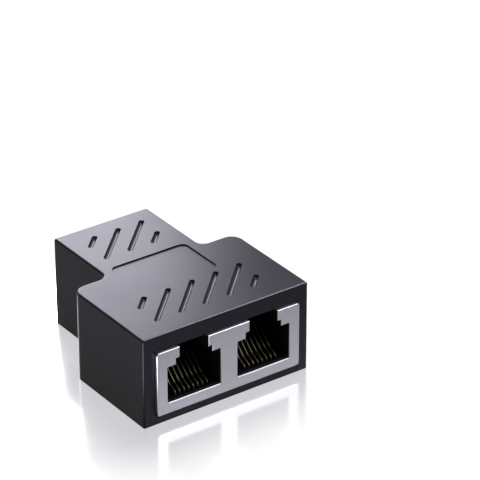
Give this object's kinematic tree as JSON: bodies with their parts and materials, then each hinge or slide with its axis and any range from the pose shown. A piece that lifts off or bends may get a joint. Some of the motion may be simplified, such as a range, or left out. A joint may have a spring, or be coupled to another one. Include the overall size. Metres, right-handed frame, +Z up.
{
  "type": "ethernet cable splitter",
  "caption": "T-shaped moulded adapter that joins one network socket in its neck to a pair in its wide end, with plated socket frames and slanting grooves on top.",
  "frame": {"origin": "middle of the underside, under the centre of the whole part's box", "axes": "+X across the wide end, +Y from the wide end with two sockets to the neck with one, +Z up"},
  "size_m": [0.0372, 0.0436, 0.0187],
  "materials": {
    "housing": "smooth black moulded plastic with a soft gloss",
    "plated_sheet": "satin nickel plating on folded sheet",
    "socket_plastic": "black moulded plastic",
    "contact_plating": "gold plating on spring wire",
    "board": "green solder mask on glass laminate"
  },
  "bodies": {
    "root": {"base_cover": "housing", "circuit_board": "board", "dual_port_body": "socket_plastic", "dual_port_shield": "plated_sheet", "left_contact_1": "contact_plating", "left_contact_2": "contact_plating", "left_contact_3": "contact_plating", "left_contact_4": "contact_plating", "left_contact_5": "contact_plating", "left_contact_6": "contact_plating", "left_contact_7": "contact_plating", "left_contact_8": "contact_plating", "left_contact_insert": "socket_plastic", "right_contact_1": "contact_plating", "right_contact_2": "contact_plating", "right_contact_3": "contact_plating", "right_contact_4": "contact_plating", "right_contact_5": "contact_plating", "right_contact_6": "contact_plating", "right_contact_7": "contact_plating", "right_contact_8": "contact_plating", "right_contact_insert": "socket_plastic", "single_contact_1": "contact_plating", "single_contact_2": "contact_plating", "single_contact_3": "contact_plating", "single_contact_4": "contact_plating", "single_contact_5": "contact_plating", "single_contact_6": "contact_plating", "single_contact_7": "contact_plating", "single_contact_8": "contact_plating", "single_contact_insert": "socket_plastic", "single_port_body": "socket_plastic", "single_port_shield": "plated_sheet", "upper_shell": "housing"}
  },
  "joints": []
}
